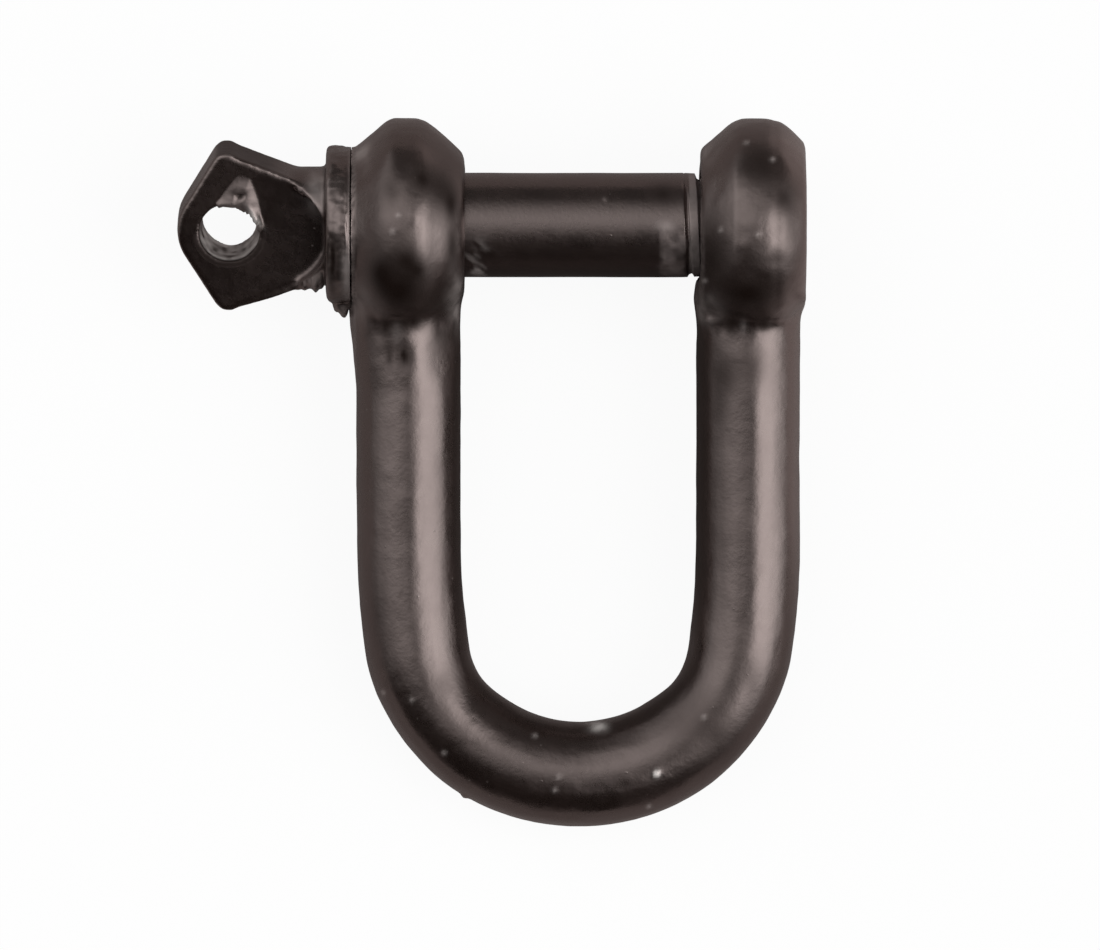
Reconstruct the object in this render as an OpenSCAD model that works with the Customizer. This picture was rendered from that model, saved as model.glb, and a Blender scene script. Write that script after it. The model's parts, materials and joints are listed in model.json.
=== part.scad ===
// Screw pin chain shackle, lying flat: a forged bow with two lugs, and a screw pin with a paddle head.
// Millimetres. The origin is on the pin axis midway between the legs. +X runs along the pin to its
// threaded end, +Y runs from the crown to the lugs, and +Z is up.

/* [Bow] */
// Diameter of the round bar in the legs and the crown
bar_d = 10; // [8.5:0.5:11]
// Clear width between the two legs
jaw_w = 22.5; // [19:0.5:28]
// Pin axis to the inside of the crown
inside_length = 47.95; // [42:0.05:60]
// Radius of the long easy bend at the foot of each leg
knee_r = 74; // [60:1:100]
// Turn of that easy bend, in degrees
knee_turn = 8; // [4:0.5:9]
// How much tighter each shoulder bend is than a plain half round
shoulder_tuck = 3.15; // [2.6:0.05:3.8]
// How much flatter the crown is than a plain half round
crown_ease = 0.65; // [0.4:0.05:1.5]

/* [Lugs] */
// Outside diameter of both lugs
lug_d = 20.5; // [19:0.5:23]
// Thickness of the plain lug along the pin
plain_lug_w = 10.8; // [9.5:0.1:12]
// Thickness of the tapped lug along the pin
tapped_lug_w = 10.05; // [9.5:0.05:12]
// How far the tapped lug stands outward of its leg
tapped_lug_shift = 0.4; // [0.2:0.05:0.8]
// Flat land along the crest of each lug
crest_land = 1.6; // [1:0.1:2.2]
// How far that land stands outward of the lug's middle
crest_shift = 0.28; // [0.1:0.02:0.5]
// Rounding from the plain lug's crest into its bevels
plain_crest_r = 1.8; // [1.2:0.1:2.6]
// Rounding from the tapped lug's crest into its bevels
tapped_crest_r = 2.8; // [1.6:0.1:3.2]
// Slope of the bevels on both lugs from the pin axis, in degrees
lug_bevel = 40; // [36:1:44]
// How far the leg swells outward where it runs into the plain lug
leg_flare = 0.95; // [0.4:0.05:1.2]
// Length of that swelling along the leg
leg_flare_l = 8.5; // [6:0.5:11]

/* [Screw pin] */
// Diameter of the plain shank
pin_d = 10; // [8.5:0.25:10.5]
// Radial play of the shank in the plain lug
pin_play = 0.25; // [0.1:0.05:0.4]
// Major diameter of the threaded end
thread_d = 9.8; // [8.3:0.05:10]
// Radial play between the thread crests and the tapped hole
thread_play = 0.1; // [0.06:0.01:0.2]
// Thread left showing before the tapped lug
thread_bare_l = 1.35; // [0.8:0.05:2.5]
// How far the pin's tip sits below the tapped lug's outer face
tip_recess = 0.7; // [0.2:0.1:1.5]
// Lead chamfer on the pin's tip
tip_chamfer = 0.9; // [0.5:0.1:1.2]
// Diameter of the collar
collar_d = 15; // [13.5:0.25:17]
// Thickness of the collar
collar_w = 2.4; // [1.5:0.1:3]
// Chamfer on both rims of the collar
collar_chamfer = 0.35; // [0.2:0.05:0.6]
// Gap left between the collar and the plain lug
collar_gap = 0.06; // [0.02:0.01:0.2]

/* [Paddle head] */
// Diameter of the round neck behind the collar
neck_d = 11.2; // [10.5:0.1:12.5]
// Thickness of the paddle
paddle_t = 4.3; // [3.8:0.1:6]
// Width of the paddle across its two corners
paddle_w = 16.05; // [14.5:0.05:17]
// Diameter of the eye through the paddle
eye_d = 5.8; // [4.5:0.1:7]
// Collar to the centre of the eye
eye_reach = 9.25; // [8.8:0.05:11]
// Metal left outside the eye at the paddle's nose
nose_wall = 2.1; // [1.6:0.1:2.6]
// Slope of the two edges that meet at the nose, in degrees
nose_slope = 31; // [26:1:35]
// Rounding of the paddle's two corners
corner_r = 1.4; // [0.8:0.1:2]
// Radius of the hollow where each flat face runs out into the neck
runout_r = 5.4; // [5.2:0.05:5.6]
// How far the round of that hollow would pass the collar's face, which stops it short
runout_past = 0.25; // [0.1:0.05:0.4]
// Turn of the paddle about the pin, out of the bow's plane, in degrees
paddle_turn = 16.3; // [5:0.5:30]

/* [Hidden] */
$fn = 96;
// Overlap that makes two touching solids one
eps = 0.01;
// Each run of the bar laps this far into the next one, which is fuller by eps so that they join cleanly
lap = 0.3;
// Overshoot of a cutting tool past the face that it cuts
cut_past = 1;
// How far the swelling's foot sits under the leg's surface, so that it grows out of the leg
flare_sink = 0.03;
// Share of the lug's radius at which the swelling ends inside the lug
flare_top = 0.7;

bar_r = bar_d / 2;
leg_x = jaw_w / 2 + bar_r;
lug_r = lug_d / 2;

// The bend is a run of tangent arcs: an easy knee under each leg, two tight shoulders and one flatter crown
shoulder_r = leg_x - shoulder_tuck;
crown_r = leg_x + crown_ease;
arc_step = crown_r - shoulder_r;
knee_step = knee_r - shoulder_r;
shoulder_x = shoulder_tuck - knee_step * (1 - cos(knee_turn));
crown_half_angle = asin(shoulder_x / arc_step);
crown_y = -(inside_length + bar_r);
crown_centre_y = crown_y + crown_r;
shoulder_y = crown_centre_y - arc_step * cos(crown_half_angle);
knee_x = leg_x - knee_r;
knee_y = shoulder_y + knee_step * sin(knee_turn);

// The lugs and the pin share one axis
plain_lug_x = -leg_x;
tapped_lug_x = leg_x + tapped_lug_shift;
plain_face_x = plain_lug_x - plain_lug_w / 2;
tapped_inner_x = tapped_lug_x - tapped_lug_w / 2;
tapped_outer_x = tapped_lug_x + tapped_lug_w / 2;
plain_bore_r = pin_d / 2 + pin_play;
tapped_bore_r = thread_d / 2 + thread_play;

collar_right_x = plain_face_x - collar_gap;
collar_left_x = collar_right_x - collar_w;
thread_start_x = tapped_inner_x - thread_bare_l;
tip_x = tapped_outer_x - tip_recess;

eye_x = collar_left_x - eye_reach;
eye_r = eye_d / 2;
nose_r = eye_r + nose_wall;
neck_r = neck_d / 2;
runout_x = collar_left_x + runout_past - runout_r;

// Where the taper from the paddle's corners runs into the neck, and the paddle's half width inside the neck
taper_end_x = runout_x + runout_r / 2;
root_v = sqrt(pow(neck_r, 2) - pow(paddle_t / 2, 2));

// Paddle corners: where the nose edge meets the full width, less the rounding
corner_v = paddle_w / 2 - corner_r;
nose_tangent_x = eye_x - nose_r * cos(nose_slope);
nose_tangent_v = nose_r * sin(nose_slope);
corner_x = eye_x - (nose_r - corner_r) / cos(nose_slope) + corner_v * tan(nose_slope);

// The shackle lies on the two lugs and the crown, so its plane tips toward the crown
rest_tilt = asin((lug_r - bar_r) / -crown_y);

// A cylinder along +X from one station to another
module along_x(r, from, to) {
    translate([from, 0, 0])
        rotate([0, 90, 0])
            cylinder(r = r, h = to - from);
}

// A cone along +X from one station to another
module cone_x(r_from, r_to, from, to) {
    translate([from, 0, 0])
        rotate([0, 90, 0])
            cylinder(r1 = r_from, r2 = r_to, h = to - from);
}

// Round bar bent about a centre in the bow's plane
module bent_bar(centre, bend_r, tube_r, start, turn) {
    translate([centre[0], centre[1], 0])
        rotate([0, 0, start])
            rotate_extrude(angle = turn)
                translate([bend_r, 0])
                    circle(r = tube_r);
}

// The easy bend from the foot of a leg to a little inside the shoulder
module knee(side) {
    lap_angle = lap / knee_r * 180 / PI;
    mirror([side, 0, 0])
        bent_bar([knee_x, knee_y], knee_r, bar_r + eps, 360 - knee_turn - lap_angle, knee_turn + lap_angle);
}

// One tight shoulder bend, from the knee to a little inside the crown
module shoulder(side) {
    lap_angle = lap / shoulder_r * 180 / PI;
    mirror([side, 0, 0])
        bent_bar([shoulder_x, shoulder_y], shoulder_r, bar_r + 2 * eps,
            270 + crown_half_angle - lap_angle, 90 - crown_half_angle - knee_turn + lap_angle);
}

// The flatter arc across the bottom of the bow
module crown() {
    bent_bar([0, crown_centre_y], crown_r, bar_r + 3 * eps,
        270 - crown_half_angle, 2 * crown_half_angle);
}

// Half section of a lug: a flat crest, rounded into a straight bevel on each side, to its two flat faces
module lug_section(w, crest_r, crest_x) {
    land = crest_land / 2;
    round_at = lug_r - crest_r;
    bevel_r = crest_r - eps;
    bevel_from = [round_at + bevel_r * cos(lug_bevel), land + bevel_r * sin(lug_bevel)];
    left_run = w / 2 + crest_x - bevel_from[1];
    right_run = w / 2 - crest_x - bevel_from[1];
    polygon([
        [0, -w / 2],
        [bevel_from[0] - left_run * tan(lug_bevel), -w / 2],
        [bevel_from[0], crest_x - bevel_from[1]],
        [lug_r - eps, crest_x - land],
        [lug_r - eps, crest_x + land],
        [bevel_from[0], crest_x + bevel_from[1]],
        [bevel_from[0] - right_run * tan(lug_bevel), w / 2],
        [0, w / 2]
    ]);
    for (side = [-1, 1])
        translate([round_at, crest_x + side * land])
            circle(r = crest_r);
}

module lug(x, w, crest_r, crest_x) {
    translate([x, 0, 0])
        rotate([0, 90, 0])
            rotate_extrude()
                lug_section(w, crest_r, crest_x);
}

// Straight leg from the easy bend up into its lug
module leg(x) {
    translate([x, knee_y - lap, 0])
        rotate([-90, 0, 0])
            cylinder(r = bar_r, h = lap - knee_y);
}

// Forged swelling on the outer side of the plain lug's leg
module leg_swelling() {
    grow = leg_flare / 2;
    foot_r = bar_r - flare_sink;
    translate([plain_lug_x, -lug_r * flare_top - leg_flare_l, 0])
        rotate([0, 0, atan(grow / leg_flare_l)])
            rotate([-90, 0, 0])
                cylinder(r1 = foot_r, r2 = foot_r + grow, h = leg_flare_l);
}

module shackle_bow() {
    color([0.12, 0.11, 0.105])
        rotate([rest_tilt, 0, 0])
            difference() {
                union() {
                    lug(plain_lug_x, plain_lug_w, plain_crest_r, -crest_shift);
                    lug(tapped_lug_x, tapped_lug_w, tapped_crest_r, crest_shift);
                    leg(plain_lug_x);
                    leg(leg_x);
                    leg_swelling();
                    for (side = [0, 1]) {
                        knee(side);
                        shoulder(side);
                    }
                    crown();
                }
                along_x(plain_bore_r, plain_face_x - cut_past, plain_lug_x + plain_lug_w / 2 + cut_past);
                along_x(tapped_bore_r, tapped_inner_x - cut_past, tapped_outer_x + cut_past);
            }
}

// Outline of the paddle: a nose round the eye, two sloped edges, two rounded corners, and a taper to the neck
module paddle_outline() {
    translate([eye_x, 0])
        circle(r = nose_r);
    for (side = [-1, 1])
        translate([corner_x, side * corner_v])
            circle(r = corner_r);
    polygon([
        [nose_tangent_x + eps, -nose_tangent_v],
        [corner_x - (corner_r - eps) * cos(nose_slope), -corner_v - (corner_r - eps) * sin(nose_slope)],
        [corner_x, -corner_v - corner_r + eps],
        [taper_end_x, -root_v + eps],
        [collar_left_x + eps, -root_v + eps],
        [collar_left_x + eps, root_v - eps],
        [taper_end_x, root_v - eps],
        [corner_x, corner_v + corner_r - eps],
        [corner_x - (corner_r - eps) * cos(nose_slope), corner_v + (corner_r - eps) * sin(nose_slope)],
        [nose_tangent_x + eps, nose_tangent_v]
    ]);
}

// What is cleared above and below the paddle, with a round run-out into the neck
module runout_outline() {
    translate([runout_x, 0])
        circle(r = runout_r);
    translate([runout_x - 2 * eye_reach, -paddle_w])
        square([2 * eye_reach, 2 * paddle_w]);
}

module paddle_head() {
    difference() {
        union() {
            translate([0, 0, -paddle_t / 2])
                linear_extrude(paddle_t)
                    paddle_outline();
            along_x(neck_r, runout_x - eps, collar_left_x + eps);
        }
        for (side = [0, 1])
            mirror([0, 0, side])
                translate([0, 0, paddle_t / 2])
                    linear_extrude(neck_d)
                        runout_outline();
        translate([eye_x, 0, -paddle_t / 2 - cut_past])
            cylinder(r = eye_r, h = paddle_t + 2 * cut_past);
    }
}

// The round collar that seats on the plain lug, with both rims chamfered
module collar() {
    rim_r = collar_d / 2;
    face_r = rim_r - collar_chamfer;
    cone_x(face_r, rim_r, collar_left_x, collar_left_x + collar_chamfer);
    along_x(rim_r, collar_left_x + collar_chamfer - eps, collar_right_x - collar_chamfer + eps);
    cone_x(rim_r, face_r, collar_right_x - collar_chamfer, collar_right_x);
}

module screw_pin() {
    color([0.14, 0.125, 0.12])
        rotate([rest_tilt, 0, 0]) {
            rotate([paddle_turn, 0, 0])
                paddle_head();
            collar();
            along_x(pin_d / 2, collar_right_x - eps, thread_start_x);
            along_x(thread_d / 2, thread_start_x - eps, tip_x - tip_chamfer);
            cone_x(thread_d / 2, thread_d / 2 - tip_chamfer, tip_x - tip_chamfer - eps, tip_x);
        }
}

shackle_bow();
screw_pin();
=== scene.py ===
"""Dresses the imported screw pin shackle, a forged black bow and its screw pin, seen from straight above."""

import itertools
import json
import math

import bmesh
import bpy
import numpy as np
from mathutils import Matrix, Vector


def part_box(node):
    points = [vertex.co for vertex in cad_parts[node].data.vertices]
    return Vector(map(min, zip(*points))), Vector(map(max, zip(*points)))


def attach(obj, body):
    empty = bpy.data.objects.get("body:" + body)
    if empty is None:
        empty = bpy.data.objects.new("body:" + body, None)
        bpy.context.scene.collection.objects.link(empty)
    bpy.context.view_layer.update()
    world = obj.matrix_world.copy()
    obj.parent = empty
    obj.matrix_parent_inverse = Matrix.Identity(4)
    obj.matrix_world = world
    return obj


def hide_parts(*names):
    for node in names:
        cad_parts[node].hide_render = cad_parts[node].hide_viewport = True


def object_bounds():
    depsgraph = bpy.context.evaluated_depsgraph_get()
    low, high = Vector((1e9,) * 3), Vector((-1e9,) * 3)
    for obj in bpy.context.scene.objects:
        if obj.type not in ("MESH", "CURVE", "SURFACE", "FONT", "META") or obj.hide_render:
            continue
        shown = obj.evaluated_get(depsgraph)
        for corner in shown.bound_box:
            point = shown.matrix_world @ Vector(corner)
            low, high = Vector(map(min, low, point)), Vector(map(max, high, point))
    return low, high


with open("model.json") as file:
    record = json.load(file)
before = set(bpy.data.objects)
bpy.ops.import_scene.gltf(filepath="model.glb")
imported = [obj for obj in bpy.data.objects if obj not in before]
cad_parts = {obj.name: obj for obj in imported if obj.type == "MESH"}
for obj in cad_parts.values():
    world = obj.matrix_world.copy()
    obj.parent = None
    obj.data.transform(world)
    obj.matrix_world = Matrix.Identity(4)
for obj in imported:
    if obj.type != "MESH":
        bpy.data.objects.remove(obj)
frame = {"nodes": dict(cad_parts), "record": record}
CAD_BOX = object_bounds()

# Shapes are worked in millimetres and written to meshes in metres
MM = 0.001

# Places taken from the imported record
MOUNTS = {mount["name"]: mount for mount in frame["record"]["mounts"]}
BOW_ALONG = MOUNTS["bow_saddle"]["axis"]
REST_TILT = math.atan2(BOW_ALONG[2], BOW_ALONG[1])
EYE = MOUNTS["pin_eye"]
PADDLE_TURN = math.atan2(-EYE["axis"][1], EYE["axis"][2])
EYE_X = EYE["pos_m"][0] / MM
EYE_R = EYE["dims"]["r_mm"]
PADDLE_T = EYE["dims"]["length_mm"]

# Places taken from the CAD nodes: the outer face of the tapped lug and the tip of the pin
TAPPED_FACE_X = round(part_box("shackle_bow")[1].x / MM, 3)
TIP_X = round(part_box("screw_pin")[1].x / MM, 3)

# Sizes of the solids that the dressing follows
SHOULDER_R = 13.1
SHOULDER_X = 2.557
SHOULDER_Y = -38.86
TAPPED_LUG_W = 10.05
TAPPED_LUG = (TAPPED_FACE_X - TAPPED_LUG_W, TAPPED_FACE_X)
EYE_REACH = 9.25
COLLAR_W = 2.4
COLLAR_R = 7.5
COLLAR_X = (EYE_X + EYE_REACH, EYE_X + EYE_REACH + COLLAR_W)
COLLAR_GAP = 0.06
PLAIN_FACE_X = COLLAR_X[1] + COLLAR_GAP
PIN_R = 5.0
THREAD_R = 4.9
THREAD_PLAY = 0.1
TAPPED_BORE_R = THREAD_R + THREAD_PLAY
TIP_CHAMFER = 0.9

# Right-handed screw thread. Its crest, root and start are shares of a turn
PITCH = 1.5
THREAD_DEPTH = 0.85
THREAD_RUNOUT = (9.95, 12.2)
FIRST_GROOVE_X = 10.33
CREST_HALF = 0.09
ROOT_HALF = 0.07
GROOVE_START = 0.25

# What each skin carries for its material: rubbed finish, pale chips and painted shade, where the first two
# also carry painted highlights
PAINTS = ("wear", "chip", "dirt")

# The integer hash behind the noise, its octaves and the shift from one to the next
HASH_STEPS = np.array((374761393, 668265263, 1442695041))
HASH_MIX = 1274126177
WORD = 0xFFFFFFFF
OCTAVES = 2
OCTAVE_SHIFT = 17.3

# Points nearer to a centre than this count as this far from it
LEAST_REACH = 0.1


# Noise and shaping helpers

def lattice_noise(points, seed):
    """Smooth noise from -1 to 1, at points given in cells."""
    cell = np.floor(points).astype(np.int64)
    part = points - cell
    fade = part ** 3 * (part * (part * 6 - 15) + 10)
    total = np.zeros(len(points))
    for corner in itertools.product((0, 1), repeat=3):
        mixed = ((cell + corner) @ HASH_STEPS + seed * HASH_MIX) & WORD
        mixed = ((mixed ^ (mixed >> 13)) * HASH_MIX) & WORD
        value = (mixed ^ (mixed >> 16)) / 2 ** 31 - 1
        total += value * np.prod(np.where(corner, fade, 1 - fade), axis=1)
    return total


def rough_noise(points, wavelength, seed):
    """Octaves of that noise, for a wavelength in millimetres."""
    total = np.zeros(len(points))
    for octave in range(OCTAVES):
        scale = 2 ** octave
        cells = points * (scale / wavelength) + OCTAVE_SHIFT * octave
        total += lattice_noise(cells, seed + octave) / scale
    return total


def layers(points, listed):
    """The sum of layers of noise, each given as its height, wavelength and seed."""
    total = np.zeros(len(points))
    for height, wavelength, seed in listed:
        total += height * rough_noise(points, wavelength, seed)
    return total


def patchy(points, wavelength, seed):
    """An uneven strength, for what is rubbed here more than there."""
    mean, spread = 0.7, 0.5
    return mean + spread * rough_noise(points, wavelength, seed)


def smoothstep(low, high, value):
    share = np.clip((value - low) / (high - low), 0, 1)
    return share * share * (3 - 2 * share)


def within(low, high, edge, value):
    """1 between two limits, falling to 0 over an edge inside them."""
    return smoothstep(low, low + edge, value) * (1 - smoothstep(high - edge, high, value))


def band(centre, width, value):
    """1 at a centre, falling softly to 0 on both sides of it."""
    return np.exp(-((value - centre) / width) ** 2)


def dab(points, place, across, along, axes=(0, 1)):
    """A soft oval spot: how strongly each point feels it, from 0 to 1."""
    first = (points[:, axes[0]] - place[0]) / across
    second = (points[:, axes[1]] - place[1]) / along
    return np.exp(-(first ** 2 + second ** 2))


def spots(points, listed):
    """The sum of soft spots, each given as its place, its reach across and along, and its strength."""
    total = np.zeros(len(points))
    for place, across, along, strength in listed:
        total += strength * dab(points, place, across, along)
    return total


def facing_up(normals):
    """1 where a surface can be seen from above, falling to 0 at its outline."""
    return smoothstep(0.05, 0.35, normals[:, 2])


def turned(points, angle):
    """Points turned about the X axis by the right-hand rule."""
    cos, sin = math.cos(angle), math.sin(angle)
    y, z = points[:, 1], points[:, 2]
    return np.stack([points[:, 0], y * cos - z * sin, y * sin + z * cos], axis=1)


def turned_flat(points, centre, angle):
    """Points about a centre in the XY plane, turned by an angle in degrees."""
    cos, sin = math.cos(math.radians(angle)), math.sin(math.radians(angle))
    x, y = points[:, 0] - centre[0], points[:, 1] - centre[1]
    return np.stack([x * cos - y * sin, x * sin + y * cos, points[:, 2]], axis=1)


def off_axis(points):
    """How far points lie from the pin axis."""
    return np.hypot(points[:, 1], points[:, 2])


def move_off_axis(points, wanted):
    """Moves points in place to wanted distances from the pin axis."""
    points[:, 1:] *= (wanted / np.maximum(off_axis(points), LEAST_REACH))[:, None]


# Meshes

class Skin:
    """The points, edges, normals and paints of a mesh object, in millimetres, for sculpting."""

    # Share of the way to its neighbours that a point goes, and comes back when nothing may shrink
    STEP, STEP_BACK = 0.5, 0.52
    # Rounds of filling between two readings of the normals
    NORMALS_EVERY = 5
    # Size of the patches along rubbed edges, and the painted shade in hollows
    RUB_PATCH, HOLLOW_DIRT = 2.0, 0.6

    def __init__(self, obj):
        self.obj = obj
        mesh = obj.data
        self.count = len(mesh.vertices)
        flat = np.empty(self.count * 3, np.float32)
        mesh.vertices.foreach_get("co", flat)
        self.points = flat.reshape(-1, 3).astype(float) / MM
        pairs = np.empty(len(mesh.edges) * 2, np.int32)
        mesh.edges.foreach_get("vertices", pairs)
        self.edges = pairs.reshape(-1, 2)
        self.degree = np.bincount(self.edges.ravel(), minlength=self.count)
        self.paints = {name: np.zeros(self.count) for name in PAINTS}

    def write(self):
        mesh = self.obj.data
        mesh.vertices.foreach_set("co", (self.points * MM).astype(np.float32).ravel())
        mesh.update()

    def normals(self):
        self.write()
        flat = np.empty(self.count * 3, np.float32)
        self.obj.data.vertex_normals.foreach_get("vector", flat)
        return flat.reshape(-1, 3).astype(float)

    def pull(self):
        """The step from each point to the mean of its neighbours."""
        first, second = self.edges[:, 0], self.edges[:, 1]
        total = np.empty_like(self.points)
        for axis in range(3):
            column = self.points[:, axis]
            total[:, axis] = np.bincount(first, column[second], self.count)
            total[:, axis] += np.bincount(second, column[first], self.count)
        return total / self.degree[:, None] - self.points

    def smooth(self, rounds, weight=1.0):
        weight = np.broadcast_to(weight, self.count)[:, None]
        for _ in range(rounds):
            self.points += self.STEP * weight * self.pull()

    def even_out(self, rounds):
        """Smooths without shrinking."""
        for _ in range(rounds):
            self.points += self.STEP * self.pull()
            self.points -= self.STEP_BACK * self.pull()

    def fill_hollows(self, rounds, weight):
        """Raises concave creases into fillets and leaves the rest."""
        for turn in range(rounds):
            if turn % self.NORMALS_EVERY == 0:
                normals = self.normals()
            rise = np.clip(np.sum(self.pull() * normals, axis=1), 0, None)
            self.points += normals * (rise * weight)[:, None]

    def raise_by(self, height):
        self.points += self.normals() * height[:, None]

    def convexity(self):
        """How far each point stands proud of its neighbours."""
        return -np.sum(self.pull() * self.normals(), axis=1)

    def round_edges(self, rounds, low, high, weight):
        """Rounds the sharp edges and what lies beside them, and leaves the rest."""
        sharp = smoothstep(low, high, np.abs(self.convexity())) * weight
        first, second = self.edges[:, 0], self.edges[:, 1]
        for _ in range(2):
            beside = sharp.copy()
            np.maximum.at(beside, first, sharp[second])
            np.maximum.at(beside, second, sharp[first])
            sharp = beside
        self.smooth(rounds, sharp)

    def rub_edges_and_shade_hollows(self, low, high, amount, seed):
        """Thins the finish along edges that stand proud and puts painted shade in hollows."""
        proud = self.convexity()
        patches = smoothstep(-0.4, 0.4, rough_noise(self.points, self.RUB_PATCH, seed))
        self.paints["wear"] += amount * patches * smoothstep(low, high, proud)
        self.paints["dirt"] += self.HOLLOW_DIRT * smoothstep(low, high, -proud)

    def mark(self, strength, rise=0, **paints):
        """Paints a mark, given by its strength at each point, and returns how far it rises."""
        for name, amount in paints.items():
            self.paints[name] += amount * strength
        return rise * strength

    def store_paints(self):
        for name, values in self.paints.items():
            layer = self.obj.data.attributes.new(name, "FLOAT", "POINT")
            layer.data.foreach_set("value", np.clip(values, 0, 1).astype(np.float32))


def link(name, data):
    obj = bpy.data.objects.new(name, data)
    bpy.context.scene.collection.objects.link(obj)
    return obj


def skin_of(name, node, voxel, cut_x=None):
    """An even skin of small quads over a CAD mesh, cut off past one X if asked."""
    weld_m = 1e-7
    work = bmesh.new()
    work.from_mesh(frame["nodes"][node].data)
    bmesh.ops.remove_doubles(work, verts=work.verts, dist=weld_m)
    if cut_x is not None:
        everything = work.verts[:] + work.edges[:] + work.faces[:]
        cut = bmesh.ops.bisect_plane(work, geom=everything, plane_co=(cut_x * MM, 0, 0),
                                     plane_no=(1, 0, 0), clear_outer=True)
        rim = [item for item in cut["geom_cut"] if isinstance(item, bmesh.types.BMEdge)]
        bmesh.ops.holes_fill(work, edges=rim)
    mesh = bpy.data.meshes.new(name + "_solid")
    work.to_mesh(mesh)
    work.free()
    obj = link(name, mesh)
    remesh = obj.modifiers.new("skin", "REMESH")
    remesh.mode = "VOXEL"
    remesh.voxel_size = voxel * MM
    shown = obj.evaluated_get(bpy.context.evaluated_depsgraph_get())
    skin = bpy.data.meshes.new_from_object(shown)
    skin.name = name
    obj.modifiers.clear()
    obj.data = skin
    bpy.data.meshes.remove(mesh)
    return obj


def rings(stations, radii):
    """Rings of points about the X axis."""
    angles = np.arange(radii.shape[1]) * (2 * math.pi / radii.shape[1])
    along = np.broadcast_to(stations[:, None], radii.shape)
    return np.stack([along, radii * np.cos(angles), radii * np.sin(angles)], axis=2)


def ring_mesh(name, points, capped):
    """A mesh over rings of points, row by row, with capped ends or else joined from last to first."""
    rows, sides, _ = points.shape
    vertices = points.reshape(-1, 3)
    faces = []
    for row in range(rows - 1 if capped else rows):
        here, after = row * sides, (row + 1) % rows * sides
        for side in range(sides):
            ahead = (side + 1) % sides
            faces.append((here + side, here + ahead, after + ahead, after + side))
    if capped:
        near, far = rows * sides, rows * sides + 1
        vertices = np.concatenate([vertices, [points[0].mean(axis=0), points[-1].mean(axis=0)]])
        for side in range(sides):
            ahead = (side + 1) % sides
            faces.append((near, ahead, side))
            faces.append((far, near - sides + side, near - sides + ahead))
    mesh = bpy.data.meshes.new(name)
    mesh.from_pydata((vertices * MM).tolist(), [], faces)
    mesh.update()
    return mesh


def thread_groove(stations, sides):
    """Share of the thread depth on a grid of stations and angles: 0 at the crest, 1 at the root."""
    turn = np.arange(sides) / sides
    phase = (stations[:, None] - FIRST_GROOVE_X) / PITCH - (turn[None, :] - GROOVE_START)
    from_root = np.abs(phase - np.round(phase))
    return 1 - smoothstep(ROOT_HALF, 0.5 - CREST_HALF, from_root)


def join(skin, mesh, paints):
    """Adds a mesh to a skin as one more shell, with its paints, and returns the whole."""
    skin.write()
    whole = bmesh.new()
    whole.from_mesh(skin.obj.data)
    whole.from_mesh(mesh)
    whole.to_mesh(skin.obj.data)
    whole.free()
    bpy.data.meshes.remove(mesh)
    skin.obj.data.update()
    joined = Skin(skin.obj)
    for name in PAINTS:
        joined.paints[name][:skin.count] = skin.paints[name]
    for name, values in paints.items():
        joined.paints[name][skin.count:skin.count + len(values)] = values
    return joined


# The bow

BOW_VOXEL = 0.30
BOW_EVENING_ROUNDS = 6
# Rounds of filling and smoothing under the lugs, round them and all over
FILLET_ROUNDS, FILLET_WEIGHT = 18, 0.9
UNDER_ROUNDS, NEAR_ROUNDS, ALL_ROUNDS = 8, 4, 2
# How far an edge stands proud where its rubbing starts and where it is full, and the wear there
BOW_PROUD, BOW_EDGE_WEAR = (0.012, 0.032), 0.35

# Y between which a leg grows into its lug, and between which the lug's underside ends
LUG_BLEND_Y = (-16, -11)
LUG_UNDERSIDE_Y = (-6, -3)
# Where the edge of a crest is worn away, how far round each place and in how many rounds
EASED_CRESTS = ((-18.4, 1.0), (15.2, 1.0), (18.7, -0.5))
EASED_REACH = (2.0, 4.0)
EASING_ROUNDS = 40
# The rim of the plain lug, where the collar seats, and the land outside it
SEAT_RIM_R, SEAT_RIM_WIDTH, SEAT_RIM_DEPTH = 7.05, 0.3, 0.3
SEAT_LAND, SEAT_LAND_EDGE, SEAT_LAND_R = (6.4, 8.0), 0.45, 7.42

# A shoulder is thinnest at this angle below its leg and within this many degrees of it
THIN_AT, THIN_OVER = 33, 20
THIN_SHARE = 0.045
# Unrolled legs lie this far apart, so that their grain differs
LEG_SHIFT = 60

# Unevenness as layers of height, wavelength and seed, and how some of it is stretched along the bar
BOW_UNEVENNESS = ((0.055, 8.0, 11), (0.026, 3.2, 23), (0.012, 1.3, 43))
LUG_UNEVENNESS = ((0.03, 1.7, 31),)
BAR_GRAIN, BAR_GRAIN_STRETCH = ((0.02, 1.2, 37),), (1, 0.09, 1)
# Ragged flash where each lug meets its leg
FLASH, FLASH_STRETCH = ((0.11, 1.5, 29),), (1, 0.35, 1)
FLASH_Y, FLASH_EDGE = (-11.4, -7.2), 1.4
# X of the two bevels that face the threaded end, which are fuller than a plain cone
FULL_BEVELS = ((-15.1, -10.85), (18.7, 21.67))
BEVEL_RISE, BEVEL_FROM_Y = 0.2, (-9.5, -7)
# The plain leg is pinched on its jaw side just under the lug
PINCH_X, PINCH_WIDTH, PINCH_DEPTH = -12.9, 1.5, 0.32
PINCH_Y, PINCH_EDGE = (-17, -6.5), 4.0
# Faint forging ridge down the tapped lug
RIDGE_X, RIDGE_WIDTH, RIDGE_RISE = 14.85, 0.2, 0.035
RIDGE_Y, RIDGE_EDGE, RIDGE_WEAR = (-3.4, 6.0), 1.5, 0.45

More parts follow.
